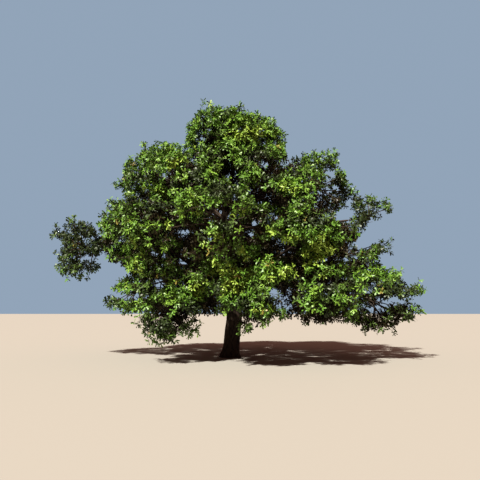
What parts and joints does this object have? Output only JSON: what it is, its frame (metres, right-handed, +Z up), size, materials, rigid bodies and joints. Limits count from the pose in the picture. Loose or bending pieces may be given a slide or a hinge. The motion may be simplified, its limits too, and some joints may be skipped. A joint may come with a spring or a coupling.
{
  "type": "oak tree",
  "caption": "Open-grown broad-leaved tree: a short leaning trunk with root flare, tapering boughs and a wide crown of leafy masses.",
  "frame": {"origin": "middle of the trunk's flat cut at ground level", "axes": "+X to the crown's right side in the usual view, which is its widest way, +Y to its back, +Z up; the ground is at Z = 0"},
  "size_m": [12.6366, 11.0929, 9.1227],
  "materials": {
    "bark": "rough furrowed bark",
    "foliage": "satin green leaves in four tints"
  },
  "bodies": {
    "root": {"bough_arm_left": "bark", "bough_arm_right": "bark", "bough_middle_back": "bark", "bough_middle_back_left": "bark", "bough_middle_back_right": "bark", "bough_middle_front": "bark", "bough_middle_front_left": "bark", "bough_middle_front_right": "bark", "bough_middle_left": "bark", "bough_middle_right": "bark", "bough_shoulder_back_left": "bark", "bough_shoulder_back_right": "bark", "bough_shoulder_front_left": "bark", "bough_shoulder_front_right": "bark", "bough_shoulder_left": "bark", "bough_shoulder_right": "bark", "bough_skirt_back": "bark", "bough_skirt_back_left": "bark", "bough_skirt_back_right": "bark", "bough_skirt_front": "bark", "bough_skirt_front_left": "bark", "bough_skirt_front_right": "bark", "bough_skirt_left": "bark", "bough_skirt_right": "bark", "bough_top_back": "bark", "bough_top_left": "bark", "bough_top_right": "bark", "foliage_arm_left": "foliage", "foliage_arm_right": "foliage", "foliage_middle_back": "foliage", "foliage_middle_back_left": "foliage", "foliage_middle_back_right": "foliage", "foliage_middle_front": "foliage", "foliage_middle_front_left": "foliage", "foliage_middle_front_right": "foliage", "foliage_middle_left": "foliage", "foliage_middle_right": "foliage", "foliage_shoulder_back_left": "foliage", "foliage_shoulder_back_right": "foliage", "foliage_shoulder_front_left": "foliage", "foliage_shoulder_front_right": "foliage", "foliage_shoulder_left": "foliage", "foliage_shoulder_right": "foliage", "foliage_skirt_back": "foliage", "foliage_skirt_back_left": "foliage", "foliage_skirt_back_right": "foliage", "foliage_skirt_front": "foliage", "foliage_skirt_front_left": "foliage", "foliage_skirt_front_right": "foliage", "foliage_skirt_left": "foliage", "foliage_skirt_right": "foliage", "foliage_top_back": "foliage", "foliage_top_front": "foliage", "foliage_top_left": "foliage", "foliage_top_right": "foliage", "trunk": "bark"}
  },
  "joints": []
}
